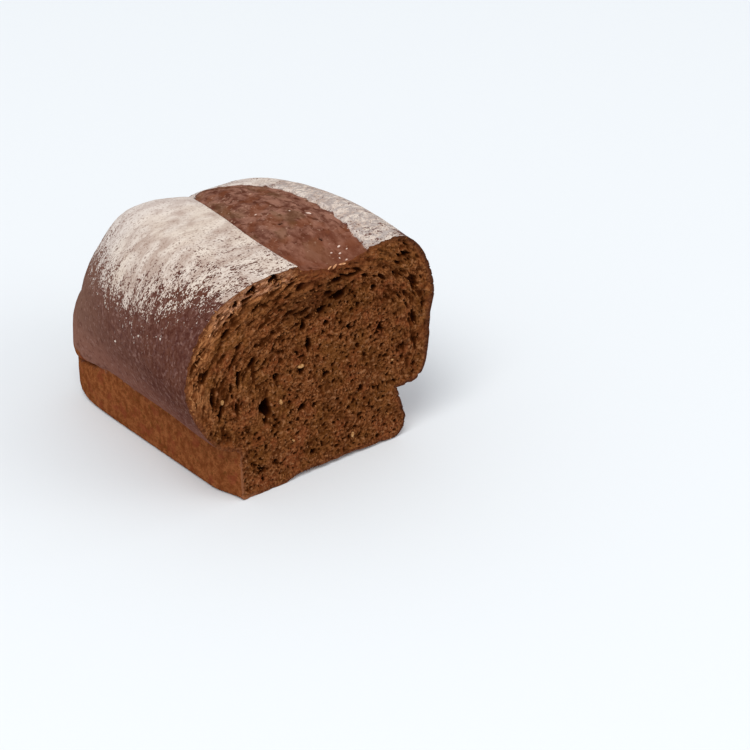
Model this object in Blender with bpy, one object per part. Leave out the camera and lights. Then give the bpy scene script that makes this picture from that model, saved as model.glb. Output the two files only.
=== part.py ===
"""The cut half of a dark grain tin loaf, standing on its flat base with the sliced face to the front.

The loaf is one solid. Its sides hang on an outline across the loaf: straight walls where the tin held
the dough, and above them the top that rose over the tin's rim and leans out past it. That outline runs
back from the slice and closes over the rounded far end. A long score opens along the crown, and the
slice is a sheet of crumb with air holes, torn pockets and a few whole grains.
"""

import math
import random

import bmesh
import bpy
from mathutils import Vector, geometry, noise

MM = 0.001

# The loaf as a whole. X runs across it, Y from the slice to the far end, Z up from the base.
LENGTH = 134.5 * MM
CROWN_HEIGHT = 103.5 * MM
CROWN_FALL = 4.0 * MM
RIGHT_CROWN_RISE = 1.6 * MM
RIGHT_CROWN_DIP = 3.0 * MM

# The tin's share: walls from the base up to the tin's rim.
TIN_HEIGHT = 25.5 * MM
TIN_FALL = 6.5 * MM
TIN_FALL_START = 88.0 * MM
TIN_LEFT = 50.5 * MM
TIN_RIGHT = 46.0 * MM
RIGHT_WAIST = 5.0 * MM
CORNER_LEFT = 2.2 * MM
CORNER_RIGHT = 9.0 * MM
BASE_ARCH = 1.8 * MM
ARCH_DEPTH = 14.0 * MM
ARCH_LEFT = -23.0 * MM
ARCH_RUN = 5.0 * MM

# Pressed in by the knife at the foot of the left wall.
PINCH = 4.0 * MM
PINCH_LENGTH = 18.0 * MM

# The risen top: how far it reaches out on each side, at the slice and at the far end.
LEFT_REACH = 73.5 * MM
LEFT_REACH_FAR = 54.0 * MM
LEFT_BELLY = 61.5 * MM
LEFT_SHOULDER = 28.0 * MM
RIGHT_REACH = 61.8 * MM
RIGHT_REACH_FAR = 61.0 * MM
RIGHT_BELLY = 66.0 * MM
RIGHT_SHOULDER = 39.0 * MM
RIGHT_STEP = 1.8 * MM

# How square each stretch is: 2 is an ellipse, more is boxier, less is a flatter slope.
SQUARE_UNDER_LEFT = 1.5
SQUARE_UPPER_LEFT = 2.25
SQUARE_UPPER_LEFT_FAR = 1.85
SQUARE_UPPER_RIGHT = 2.0
SQUARE_UNDER_RIGHT = 4.2
SQUARE_END_TIN = 11.0
SQUARE_END_BELLY = 4.8
SQUARE_END_CROWN = 3.3
SQUARE_END_TOP = 3.4

# The far end: where its face stops, the height the crown comes down to, the rounding of its foot,
# and how far the risen top leans out over the tin's share there.
END_FACE = 0.9985
END_HUB = 40.0 * MM
FOOT_FROM = 0.8
FOOT_RISE = 10.0 * MM
END_OVERHANG = 2.0 * MM
END_DOME = 1.4 * MM
END_DOME_RUN = 16.0 * MM
END_SPACING = 8.0 * MM

# The score along the crown, which has opened to a long leaf.
SCORE_START = 5.5 * MM
SCORE_DRIFT = 9.5 * MM
SCORE_WIDEST = 35.0 * MM
SCORE_TIP = 109.0 * MM
SCORE_GONE = 124.0 * MM
SCORE_HALF_WIDTH = 21.0 * MM
SCORE_LEAST = 2.5 * MM
LIP_LEFT = 2.4 * MM
LIP_LEFT_FAR = 4.6 * MM
LIP_RIGHT = 1.0 * MM
LIP_RUN = 1.2 * MM
BURST = 3.4 * MM
BOWL = 3.6 * MM

# The left shoulder swells up beside the score's far end.
LUMP_PLACE = (-16.0 * MM, 107.0 * MM, 91.0 * MM)
LUMP_RADIUS = 30.0 * MM
LUMP_RISE = 4.8 * MM

# A crack along the tin's rim, near the far end of the left side.
CRACK_START = 101.0 * MM
CRACK_END = 131.0 * MM
CRACK_DEPTH = 3.0 * MM

# The crust is a little uneven.
SWELL = 0.9 * MM
SWELL_LENGTH = 26.0 * MM
SWELL_FROM = 14.0 * MM

# Faces along each stretch of the outline, and rings from the slice to the far end.
STEPS = {
    "base": 9,
    "tin": 6,
    "corner": 3,
    "under": 9,
    "upper": 15,
    "shoulder": 4,
    "score": 9,
}
STRAIGHT_RINGS = 22
END_RINGS = 13
STRAIGHT_SHARE = 0.66

# The slice.
CRUST = 2.6 * MM
CRUMB_SPACING = 3.6 * MM
CRUMB_WAVE = 0.5 * MM
CRUMB_WAVE_LENGTH = 18.0 * MM
POCKET_SIDES = 10
HOLE_SIDES = 6
RAGGED = 0.22
SMALL_HOLES = 74
SMALL_HOLE_GAP = 5.2 * MM
SMALL_HOLE_SIZE = (0.9 * MM, 1.9 * MM)
SEED = 11

# The pockets that a look at the slice finds first: place across and up, half width, half height,
# turn in degrees and depth, all in millimetres from the tin's middle line and the base.
POCKETS = (
    (8.5, 83.0, 4.8, 2.5, 18, 7.0),
    (-1.0, 78.5, 2.8, 1.5, 28, 5.0),
    (-8.5, 64.5, 1.5, 4.2, 4, 6.0),
    (-11.5, 74.0, 1.8, 2.4, 0, 5.0),
    (31.0, 59.5, 1.9, 2.2, 0, 5.5),
    (-46.5, 60.0, 1.5, 4.8, -6, 5.5),
    (-32.5, 41.0, 3.2, 5.4, 24, 6.5),
    (-26.5, 54.5, 1.7, 2.2, 0, 4.5),
    (0.5, 46.5, 2.3, 1.6, 10, 4.5),
    (20.0, 32.5, 1.7, 2.0, 0, 4.5),
    (-13.0, 34.5, 2.9, 1.8, 20, 4.5),
    (-56.0, 47.0, 1.3, 4.4, -14, 5.0),
    (-35.0, 11.0, 2.6, 1.4, 38, 4.0),
    (45.5, 91.0, 3.2, 1.3, -24, 3.6),
    (27.5, 80.0, 2.0, 1.7, 0, 4.0),
    (1.0, 71.5, 1.8, 1.5, 0, 4.0),
)

# Whole grains that show in the slice: place across and up, and half length, in millimetres.
GRAINS = (
    (-13.0, 54.5, 1.7),
    (-24.0, 42.0, 1.6),
    (15.5, 10.5, 1.3),
    (-54.5, 52.0, 1.5),
    (-18.0, 20.0, 1.3),
    (38.0, 41.0, 1.2),
)
GRAIN_RISE = 0.8 * MM


def smooth(low, high, value):
    """0 below low, 1 above high, and an even rise between them."""
    share = min(max((value - low) / (high - low), 0.0), 1.0)
    return share * share * (3 - 2 * share)


def mix(start, end, share):
    """The value at this share of the way from start to end."""
    return start + (end - start) * share


def spread(start, end, steps):
    """steps values from start, the last of them one step short of end."""
    return [mix(start, end, i / steps) for i in range(steps)]


def quarter(across, up, square, steps, rising):
    """Points of a superellipse's quarter, as (x, z) from its middle, without the last of them."""
    angles = spread(0.0, math.pi / 2, steps)
    if not rising:
        angles = [math.pi / 2 - angle for angle in angles]
    power = 2 / square
    return [
        (across * math.cos(a) ** power, up * math.sin(a) ** power)
        for a in angles
    ]


def shrink(share, square):
    """What is left of a size at this share of the loaf's length, as it closes over the far end."""
    return max(1 - share**square, 0.0) ** (1 / square)


def score_edges(y):
    """Where the score's left and right edges are at this distance from the slice."""
    along = min(y / SCORE_TIP, 1.0)
    middle = SCORE_START + SCORE_DRIFT * math.sin(math.pi / 2 * along)
    off_widest = (y - SCORE_WIDEST) / (SCORE_TIP - SCORE_WIDEST)
    open_share = math.sqrt(max(1 - off_widest**2, 0.0))
    half = max(SCORE_HALF_WIDTH * open_share, SCORE_LEAST)
    return middle - half, middle + half, open_share


def corner_inset(z, radius):
    """How far a wall stands in at height z, where it rounds into the base."""
    if z >= radius:
        return 0.0
    return radius - math.sqrt(radius**2 - (radius - z) ** 2)


def tin_height(y):
    """How high the tin's share reaches at this distance from the slice."""
    return TIN_HEIGHT - TIN_FALL * smooth(TIN_FALL_START, LENGTH, y)


def wall_heights(radius, top):
    """Heights up a tin wall: close together in the rounded corner, then even to the rim."""
    corner = [
        radius * (1 - math.cos(a))
        for a in spread(0.0, math.pi / 2, STEPS["corner"])
    ]
    return corner + spread(radius, top, STEPS["tin"])


def outline(y):
    """The loaf's outline across, as (x, z) points clockwise from the right end of the base."""
    share = y / LENGTH
    left = mix(LEFT_REACH, LEFT_REACH_FAR, share)
    right = mix(RIGHT_REACH, RIGHT_REACH_FAR, share)
    crown = CROWN_HEIGHT - CROWN_FALL * share**2
    fading = 1 - smooth(SCORE_TIP, SCORE_GONE, y)
    crown_right = crown + RIGHT_CROWN_RISE * smooth(0.0, SCORE_TIP, y) * fading
    edge_left, edge_right, open_share = score_edges(y)
    crown_right -= RIGHT_CROWN_DIP * (1 - smooth(0.0, SCORE_WIDEST, y))
    waist = TIN_RIGHT - RIGHT_WAIST
    top = tin_height(y)
    square = mix(SQUARE_UPPER_LEFT, SQUARE_UPPER_LEFT_FAR, share)

    points = []
    arch = BASE_ARCH * (1 - smooth(0.0, ARCH_DEPTH, y))
    for x in spread(TIN_RIGHT - CORNER_RIGHT, -TIN_LEFT + CORNER_LEFT, STEPS["base"]):
        lift = smooth(ARCH_LEFT, ARCH_LEFT + ARCH_RUN, x)
        points.append((x, arch * lift * max(1 - (x / TIN_RIGHT) ** 2, 0.0)))
    for z in wall_heights(CORNER_LEFT, top):
        points.append((-TIN_LEFT + corner_inset(z, CORNER_LEFT), z))
    for across, up in quarter(
        left - TIN_LEFT, LEFT_BELLY - top, SQUARE_UNDER_LEFT, STEPS["under"], False
    ):
        points.append((-TIN_LEFT - across, LEFT_BELLY - up))
    for across, up in quarter(
        left - LEFT_SHOULDER, crown - LEFT_BELLY, square, STEPS["upper"], True
    ):
        points.append((-LEFT_SHOULDER - across, LEFT_BELLY + up))

    lip_left = mix(LIP_LEFT, LIP_LEFT_FAR, smooth(SCORE_WIDEST, SCORE_TIP, y))
    lip_left *= math.sqrt(open_share)
    lip_right = LIP_RIGHT * open_share
    burst = open_share * mix(-BOWL, BURST, smooth(0.0, SCORE_WIDEST, y))
    for x in spread(-LEFT_SHOULDER, edge_left - LIP_RUN, STEPS["shoulder"]):
        points.append((x, crown))
    points.append((edge_left - LIP_RUN, crown))
    for i, x in enumerate(spread(edge_left, edge_right, STEPS["score"])):
        across = i / STEPS["score"]
        level = mix(crown - lip_left, crown_right - lip_right, across)
        points.append((x, level + burst * math.sin(math.pi * across)))
    points.append((edge_right, crown_right - lip_right))
    shoulder = max(RIGHT_SHOULDER, edge_right + 2 * LIP_RUN)
    for x in spread(edge_right + LIP_RUN, shoulder, STEPS["shoulder"]):
        points.append((x, crown_right))
    for across, up in quarter(
        right - shoulder, crown_right - RIGHT_BELLY, SQUARE_UPPER_RIGHT, STEPS["upper"], False
    ):
        points.append((shoulder + across, RIGHT_BELLY + up))
    for across, up in quarter(
        right - waist, RIGHT_BELLY - top, SQUARE_UNDER_RIGHT, STEPS["under"], True
    ):
        across -= RIGHT_STEP * smooth(0.0, 6 * MM, up) * across / (right - waist)
        points.append((waist + across, RIGHT_BELLY - up))
    for z in reversed(wall_heights(CORNER_RIGHT, top) + [top]):
        lean = RIGHT_WAIST * max(z - CORNER_RIGHT, 0.0) / (top - CORNER_RIGHT)
        points.append((TIN_RIGHT - lean - corner_inset(z, CORNER_RIGHT), z))
    return points[:-1]


def above_tin(y, z):
    """0 on the tin's share of the height, 1 on the risen top, and a short rise between them."""
    return smooth(-3 * MM, 5 * MM, z - tin_height(y))


def end_square(z):
    """How square the loaf's far end is in plan at this height."""
    tin_to_belly = min(max((z - TIN_HEIGHT) / (LEFT_BELLY - TIN_HEIGHT), 0.0), 1.0)
    belly_to_crown = min(max((z - LEFT_BELLY) / (CROWN_HEIGHT - LEFT_BELLY), 0.0), 1.0)
    square = mix(SQUARE_END_TIN, SQUARE_END_BELLY, tin_to_belly)
    return square + (SQUARE_END_CROWN - SQUARE_END_BELLY) * belly_to_crown


def crust_point(x, y, z):
    """A point of the outline, moved to where the crust really is: closed in, pinched and uneven."""
    share = y / LENGTH
    below_rim = 1 - above_tin(y, z)
    on_left = smooth(0.3, 1.0, -x / TIN_LEFT)
    beside_score = smooth(0.0, 8 * MM, score_edges(y)[0] - x)
    beside_score = max(beside_score, smooth(SCORE_TIP - 12 * MM, SCORE_GONE, y))
    if abs(z - tin_height(y)) < 0.1 * MM:
        opening = smooth(CRACK_START, CRACK_START + 9 * MM, y)
        closing = smooth(CRACK_END - 5 * MM, CRACK_END, y)
        x += CRACK_DEPTH * opening * (1 - closing) * on_left
    x += PINCH * (1 - smooth(0.0, PINCH_LENGTH, y)) * below_rim * on_left
    x *= shrink(share, end_square(z))
    if z > END_HUB:
        z = END_HUB + (z - END_HUB) * shrink(share, SQUARE_END_TOP)
    elif z < tin_height(y) and share > FOOT_FROM:
        along = (share - FOOT_FROM) / (1 - FOOT_FROM)
        z += FOOT_RISE * (1 - math.sqrt(1 - along**2)) * (1 - z / tin_height(y))
    y -= END_OVERHANG * smooth(FOOT_FROM, 1.0, share) * below_rim

    point = Vector((x, y, z))
    outward = Vector((x, 0.0, z - END_HUB)).normalized()
    lump = 1 - smooth(0.0, LUMP_RADIUS, (point - Vector(LUMP_PLACE)).length)
    swell = SWELL * noise.noise(point / SWELL_LENGTH) * smooth(0.0, SWELL_FROM, z)
    return point + outward * (LUMP_RISE * lump * beside_score + swell)


def ring_places():
    """Distances of the rings from the slice: even, then closing up over the far end."""
    places = spread(0.0, LENGTH * STRAIGHT_SHARE, STRAIGHT_RINGS)
    start = math.asin(STRAIGHT_SHARE**2)
    end = math.asin(END_FACE**2)
    for i in range(END_RINGS):
        angle = mix(start, end, i / (END_RINGS - 1))
        places.append(LENGTH * math.sqrt(math.sin(angle)))
    return places


def depth_in(x, z, pocket):
    """How far into a pocket a point of the slice is: 1 at its middle, 0 on its rim."""
    across, up, half_width, half_height, turn, _ = pocket
    angle = math.radians(turn)
    dx, dz = x - across * MM, z - up * MM
    along = dx * math.cos(angle) + dz * math.sin(angle)
    beside = dz * math.cos(angle) - dx * math.sin(angle)
    return 1 - math.hypot(along / (half_width * MM), beside / (half_height * MM))


def pocket_rings(pocket, sides, chance):
    """Points round a pocket's ragged rim and its floor, then its deepest, as (x, z, depth)."""
    across, up, half_width, half_height, turn, depth = pocket
    angle = math.radians(turn)
    reaches = [1 + chance.uniform(-RAGGED, RAGGED) for _ in range(sides)]
    points = []
    for share, sink in ((1.0, 0.0), (0.62, 0.85)):
        for i, reach in enumerate(reaches):
            a = 2 * math.pi * i / sides
            u = half_width * share * reach * math.cos(a)
            v = half_height * share * reach * math.sin(a)
            x = across + u * math.cos(angle) - v * math.sin(angle)
            z = up + u * math.sin(angle) + v * math.cos(angle)
            points.append((x * MM, z * MM, depth * sink * MM))
    points.append((across * MM, up * MM, depth * MM))
    return points


def edge_distance(x, z, rim):
    """How far a point of the slice is from the crust's outline."""
    point = Vector((x, z))
    nearest = 1.0
    for start, end in zip(rim, rim[1:] + rim[:1]):
        hit, share = geometry.intersect_point_line(point, start, end)
        hit = start if share < 0 else end if share > 1 else hit
        nearest = min(nearest, (point - hit.to_2d()).length)
    return nearest


def inside(x, z, rim):
    """Whether a point lies within the outline."""
    within = False
    for start, end in zip(rim, rim[1:] + rim[:1]):
        if (start.y > z) != (end.y > z):
            if x < mix(start.x, end.x, (z - start.y) / (end.y - start.y)):
                within = not within
    return within


def small_holes(rim, chance):
    """Small air holes kept clear of the pockets, the grains, the crust and each other."""
    holes = []
    tries = 0
    while len(holes) < SMALL_HOLES and tries < 40 * SMALL_HOLES:
        tries += 1
        x = chance.uniform(-LEFT_REACH, RIGHT_REACH)
        z = chance.uniform(0.0, CROWN_HEIGHT)
        size = chance.uniform(*SMALL_HOLE_SIZE)
        tall = chance.uniform(0.8, 1.5)
        if not inside(x, z, rim) or edge_distance(x, z, rim) < CRUST + 2 * size:
            continue
        near_pocket = any(depth_in(x, z, p) > -1.4 for p in POCKETS)
        near_grain = any(math.hypot(x - g[0] * MM, z - g[1] * MM) < 4 * MM for g in GRAINS)
        near_hole = any(
            math.hypot(x - h[0] * MM, z - h[1] * MM) < SMALL_HOLE_GAP for h in holes
        )
        if near_pocket or near_grain or near_hole:
            continue
        # Near a side the holes are drawn out along the crust, as the dough slid up it.
        lean = math.degrees(math.atan2(-x, LEFT_BELLY)) * 0.4
        half = size / MM
        holes.append((x / MM, z / MM, half, half * tall, lean, 1.6 * half))
    return holes


def slice_points(rim, chance):
    """Every point inside the slice, as (x, z, depth), and the loops of points round the holes."""
    points = []
    loops = []
    holes = list(POCKETS) + small_holes(rim, chance)
    for i, pocket in enumerate(holes):
        sides = POCKET_SIDES if i < len(POCKETS) else HOLE_SIDES
        first = len(points)
        points += pocket_rings(pocket, sides, chance)
        loops.append(list(range(first, first + sides)))
        loops.append(list(range(first + sides, first + 2 * sides)))
    for across, up, half in GRAINS:
        for i in range(6):
            a = math.pi / 3 * i
            x = across + half * math.cos(a)
            z = up + 0.6 * half * math.sin(a)
            points.append((x * MM, z * MM, 0.0))
        points.append((across * MM, up * MM, -GRAIN_RISE))

    taken = [Vector(p[:2]) for p in points]
    rows = int(CROWN_HEIGHT / CRUMB_SPACING) + 1
    columns = int((LEFT_REACH + RIGHT_REACH) / CRUMB_SPACING) + 1
    for row in range(rows):
        for column in range(columns):
            x = -LEFT_REACH + CRUMB_SPACING * (column + 0.5 * (row % 2))
            z = CRUMB_SPACING * (row + 0.5) * 0.97
            x += chance.uniform(-0.15, 0.15) * CRUMB_SPACING
            z += chance.uniform(-0.15, 0.15) * CRUMB_SPACING
            if not inside(x, z, rim) or edge_distance(x, z, rim) < 0.5 * CRUMB_SPACING:
                continue
            if any((t - Vector((x, z))).length < 0.55 * CRUMB_SPACING for t in taken):
                continue
            wave = CRUMB_WAVE * noise.noise(Vector((x, 0.0, z)) / CRUMB_WAVE_LENGTH)
            points.append((x, z, wave))
    return points, loops


def add_slice(mesh, ring):
    """The cut face, sunk at the holes and raised at the grains."""
    rim = [Vector((v.co.x, v.co.z)) for v in ring]
    points, loops = slice_points(rim, random.Random(SEED))
    fill(mesh, ring, points, loops)


def fill(mesh, ring, points, loops):
    """Triangles across a ring, with more points inside it and edges kept along the given loops."""
    places = [Vector((v.co.x, v.co.z)) for v in ring] + [Vector((x, z)) for x, z, _ in points]
    made = list(ring) + [mesh.verts.new((x, y, z)) for x, z, y in points]
    edges = [(i, (i + 1) % len(ring)) for i in range(len(ring))]
    for loop in loops:
        edges += [(a + len(ring), b + len(ring)) for a, b in zip(loop, loop[1:] + loop[:1])]
    _, _, faces, sources, _, _ = geometry.delaunay_2d_cdt(places, edges, [], 1, 1e-7)
    for face in faces:
        mesh.faces.new([made[sources[i][0]] for i in face])


def add_end_face(mesh, ring):
    """The far end's face, which domes a little above the tin's rim."""
    rim = [Vector((v.co.x, v.co.z)) for v in ring]
    steps = int(TIN_LEFT / END_SPACING)
    points = []
    for column in range(-steps, steps + 1):
        for row in range(1, int(CROWN_HEIGHT / END_SPACING)):
            x = END_SPACING * (column + 0.5 * (row % 2))
            z = END_SPACING * row
            if not inside(x, z, rim) or edge_distance(x, z, rim) < 0.4 * END_SPACING:
                continue
            dome = END_DOME * smooth(0.0, END_DOME_RUN, edge_distance(x, z, rim))
            lean = mix(-END_OVERHANG, dome, above_tin(LENGTH, z))
            points.append((x, z, LENGTH * END_FACE + lean))
    fill(mesh, ring, points, [])


def add_crust(mesh):
    """The rings of the crust, joined and closed at the far end. Returns the open first ring."""
    rings = []
    for y in ring_places():
        rings.append([mesh.verts.new(crust_point(x, y, z)) for x, z in outline(y)])
    count = len(rings[0])
    for near, far in zip(rings, rings[1:]):
        for i in range(count):
            j = (i + 1) % count
            mesh.faces.new((near[i], near[j], far[j], far[i]))
    add_end_face(mesh, rings[-1])
    return rings[0]


def bread_material():
    """Dark grain bread, matt all over."""
    material = bpy.data.materials.new("bread")
    material.use_nodes = True
    shader = material.node_tree.nodes["Principled BSDF"]
    shader.inputs["Base Color"].default_value = (0.115, 0.044, 0.016, 1.0)
    shader.inputs["Roughness"].default_value = 0.82
    shader.inputs["Metallic"].default_value = 0.0
    return material


def build_loaf():
    """The loaf, with its box centred on the origin and its base at z = 0."""
    mesh = bmesh.new()
    ring = add_crust(mesh)
    add_slice(mesh, ring)
    bmesh.ops.triangulate(mesh, faces=mesh.faces)
    bmesh.ops.recalc_face_normals(mesh, faces=mesh.faces)
    to_middle = Vector(((LEFT_REACH - RIGHT_REACH) / 2, -LENGTH / 2, 0.0))
    bmesh.ops.translate(mesh, vec=to_middle, verts=mesh.verts)
    data = bpy.data.meshes.new("loaf")
    mesh.to_mesh(data)
    mesh.free()
    data.shade_smooth()
    data.set_sharp_from_angle(angle=math.radians(35))
    data.materials.append(bread_material())
    loaf = bpy.data.objects.new("loaf", data)
    bpy.context.scene.collection.objects.link(loaf)
    return loaf


for leftover in list(bpy.data.objects):
    bpy.data.objects.remove(leftover)
build_loaf()
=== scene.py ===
"""The cut half of a dark grain tin loaf: crust, flour, crumb, grains and loose crumbs."""
import math

import bmesh
import bpy
import numpy as np
from mathutils import Matrix, Vector, geometry, noise
from mathutils.bvhtree import BVHTree


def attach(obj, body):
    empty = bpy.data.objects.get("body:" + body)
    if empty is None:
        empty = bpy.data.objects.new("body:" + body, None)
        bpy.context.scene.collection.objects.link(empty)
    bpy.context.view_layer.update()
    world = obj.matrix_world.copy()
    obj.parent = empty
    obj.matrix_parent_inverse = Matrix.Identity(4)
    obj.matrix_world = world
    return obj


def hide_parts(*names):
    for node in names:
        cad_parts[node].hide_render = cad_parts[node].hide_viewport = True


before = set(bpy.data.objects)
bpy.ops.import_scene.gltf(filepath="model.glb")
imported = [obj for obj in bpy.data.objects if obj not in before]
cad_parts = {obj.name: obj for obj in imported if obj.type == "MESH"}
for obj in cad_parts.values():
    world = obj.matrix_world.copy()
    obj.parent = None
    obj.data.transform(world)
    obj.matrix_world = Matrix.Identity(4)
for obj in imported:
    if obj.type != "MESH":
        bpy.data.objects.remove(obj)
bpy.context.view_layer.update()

MM = 0.001

# The loaf's own sizes, as its solid has them.
LENGTH = 134.5 * MM
CROWN_HEIGHT = 103.5 * MM
CROWN_FALL = 4.0 * MM
RIGHT_CROWN_RISE = 1.6 * MM
RIGHT_CROWN_DIP = 3.0 * MM
TIN_HEIGHT = 25.5 * MM
TIN_FALL = 6.5 * MM
TIN_FALL_START = 88.0 * MM
TIN_LEFT = 50.5 * MM
TIN_RIGHT = 46.0 * MM
RIGHT_WAIST = 5.0 * MM
CORNER_LEFT = 2.2 * MM
CORNER_RIGHT = 9.0 * MM
BASE_ARCH = 1.8 * MM
ARCH_DEPTH = 14.0 * MM
ARCH_LEFT = -23.0 * MM
ARCH_RUN = 5.0 * MM
PINCH = 4.0 * MM
PINCH_LENGTH = 18.0 * MM
LEFT_REACH = 73.5 * MM
LEFT_REACH_FAR = 54.0 * MM
LEFT_BELLY = 61.5 * MM
LEFT_SHOULDER = 28.0 * MM
RIGHT_REACH = 61.8 * MM
RIGHT_REACH_FAR = 61.0 * MM
RIGHT_BELLY = 66.0 * MM
RIGHT_SHOULDER = 39.0 * MM
RIGHT_STEP = 1.8 * MM
SQUARE_UNDER_LEFT = 1.5
SQUARE_UPPER_LEFT = 2.25
SQUARE_UPPER_LEFT_FAR = 1.85
SQUARE_UPPER_RIGHT = 2.0
SQUARE_UNDER_RIGHT = 4.2
SQUARE_END_TIN = 11.0
SQUARE_END_BELLY = 4.8
SQUARE_END_CROWN = 3.3
SQUARE_END_TOP = 3.4
END_FACE = 0.9985
END_HUB = 40.0 * MM
FOOT_FROM = 0.8
FOOT_RISE = 10.0 * MM
END_OVERHANG = 2.0 * MM
END_DOME = 1.4 * MM
END_DOME_RUN = 16.0 * MM
SCORE_START = 5.5 * MM
SCORE_DRIFT = 9.5 * MM
SCORE_WIDEST = 35.0 * MM
SCORE_TIP = 109.0 * MM
SCORE_GONE = 124.0 * MM
SCORE_HALF_WIDTH = 21.0 * MM
SCORE_LEAST = 2.5 * MM
LIP_LEFT = 2.4 * MM
LIP_LEFT_FAR = 4.6 * MM
LIP_RIGHT = 1.0 * MM
LIP_RUN = 1.2 * MM
BURST = 3.4 * MM
BOWL = 3.6 * MM
LUMP_PLACE = (-16.0 * MM, 107.0 * MM, 91.0 * MM)
LUMP_RADIUS = 30.0 * MM
LUMP_RISE = 4.8 * MM
CRACK_START = 101.0 * MM
CRACK_END = 131.0 * MM
CRACK_DEPTH = 3.0 * MM
SWELL = 0.9 * MM
SWELL_LENGTH = 26.0 * MM
SWELL_FROM = 14.0 * MM
STRAIGHT_SHARE = 0.66
TO_MIDDLE = Vector(((LEFT_REACH - RIGHT_REACH) / 2, -LENGTH / 2, 0.0))

# The crumb's layers, which follow the crust: the height above which they bend over the top, how far they
# count from the crust to the middle and around it, and how much of that is drawn out on either side.
LAYERS_BEND = 52.0 * MM
LAYERS_DEEP = 60.0
LAYERS_ROUND = 50.0
STREAKS_RIGHT = 24.0
STREAKS_LEFT = 50.0

# What is written on places that the score or the flour doesn't reach.
OUTSIDE_SCORE = -30.0
BARE = -3.0

# Faces of the fine surface: along each stretch of the outline, and rings from the slice back.
STEPS = {"base": 30, "tin": 30, "corner": 6, "under": 42, "upper": 84, "shoulder": 16, "score": 56}
STRAIGHT_RINGS = 122
END_RINGS = 58
END_SPACING = 1.1 * MM
CRUMB_SPACING = 0.39 * MM

# Torn pockets in the slice: across, up, half width, half height, turn in degrees, depth; millimetres.
POCKETS = (
    (8.5, 83.0, 4.8, 2.5, 18, 7.0),
    (-1.0, 78.5, 2.8, 1.5, 28, 5.0),
    (-8.5, 64.5, 1.5, 4.2, 4, 6.0),
    (-11.5, 74.0, 1.8, 2.4, 0, 5.0),
    (31.0, 59.5, 1.9, 2.2, 0, 5.5),
    (-46.5, 60.0, 1.5, 4.8, -6, 5.5),
    (-32.5, 41.0, 3.2, 5.4, 24, 6.5),
    (-26.5, 54.5, 1.7, 2.2, 0, 4.5),
    (0.5, 46.5, 2.3, 1.6, 10, 4.5),
    (20.0, 32.5, 1.7, 2.0, 0, 4.5),
    (-13.0, 34.5, 2.9, 1.8, 20, 4.5),
    (-56.0, 47.0, 1.3, 4.4, -14, 5.0),
    (-35.0, 11.0, 2.6, 1.4, 38, 4.0),
    (45.5, 91.0, 3.2, 1.3, -24, 3.6),
    (27.5, 80.0, 2.0, 1.7, 0, 4.0),
    (1.0, 71.5, 1.8, 1.5, 0, 4.0),
    (-26.8, 101.6, 3.3, 1.8, 6, 5.5),
    (-38.0, 99.5, 2.9, 2.0, 20, 5.5),
    (-46.6, 95.7, 1.7, 1.4, 36, 4.5),
    (-48.8, 91.6, 2.7, 1.1, 44, 4.0),
    (-52.6, 83.4, 2.6, 1.0, 58, 4.0),
)

# Holes torn in the score: across, back from the slice, half width and depth, in millimetres.
SCORE_HOLES = (
    (24.0, 47.6, 1.7, 1.8),
    (12.6, 18.1, 1.3, 1.5),
    (5.1, 37.4, 1.6, 1.8),
    (-5.0, 3.0, 1.5, 1.0),
)

# Air holes of the crumb: cell size, share of cells without one, least and most radius in cells.
PORES = ((5.2, 0.66, 0.14, 0.36), (2.8, 0.15, 0.2, 0.42), (1.6, 0.4, 0.22, 0.46))

# Darker middle of the crumb: across, up, half width and half height, in millimetres.
DARK_CORE = (-4.0, 84.0, 28.0, 9.5)

# How strong each kind of relief is, in about millimetres.
RELIEF = {
    "Wrinkle": 0.28, "Tear": 0.95, "Pit": 0.28, "Flour": 0.2, "Pore": 1.1, "Ridge": 0.85,
    "Channel": 2.2, "Rim": 1.0,
}

# Whole grains in the slice: across, up and half length, in millimetres.
GRAINS = (
    (-13.0, 54.5, 1.7),
    (-24.0, 42.0, 1.6),
    (15.5, 10.5, 1.3),
    (-54.5, 52.0, 1.5),
    (-18.0, 20.0, 0.8),
    (38.0, 41.0, 0.7),
)


# The outline and the crust's shape.
def smooth(low, high, value):
    """0 below low, 1 above high, and an even rise between them; low may be the larger."""
    share = min(max((value - low) / (high - low), 0.0), 1.0)
    return share * share * (3 - 2 * share)


def smooth_each(low, high, values):
    """The same for every value of an array."""
    share = np.clip((values - low) / (high - low), 0.0, 1.0)
    return share * share * (3 - 2 * share)


def mix(start, end, share):
    """The value at this share of the way from start to end."""
    return start + (end - start) * share


def spread(start, end, steps):
    """steps values from start, the last of them one step short of end."""
    return [mix(start, end, i / steps) for i in range(steps)]


def quarter(across, up, square, steps, rising):
    """Points of a superellipse's quarter, as (x, z) from its middle, without the last of them."""
    angles = spread(0.0, math.pi / 2, steps)
    if not rising:
        angles = [math.pi / 2 - angle for angle in angles]
    power = 2 / square
    return [(across * math.cos(a) ** power, up * math.sin(a) ** power) for a in angles]


def shrink(share, square):
    """What is left of a size at this share of the loaf's length, as it closes over the far end."""
    return max(1 - share**square, 0.0) ** (1 / square)


def score_edges(y):
    """Where the score's left and right edges are at this distance from the slice."""
    along = min(y / SCORE_TIP, 1.0)
    middle = SCORE_START + SCORE_DRIFT * math.sin(math.pi / 2 * along)
    off_widest = (y - SCORE_WIDEST) / (SCORE_TIP - SCORE_WIDEST)
    open_share = math.sqrt(max(1 - off_widest**2, 0.0))
    half = max(SCORE_HALF_WIDTH * open_share, SCORE_LEAST)
    return middle - half, middle + half, open_share


def corner_inset(z, radius):
    """How far a wall stands in at height z, where it rounds into the base."""
    if z >= radius:
        return 0.0
    return radius - math.sqrt(radius**2 - (radius - z) ** 2)


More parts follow.
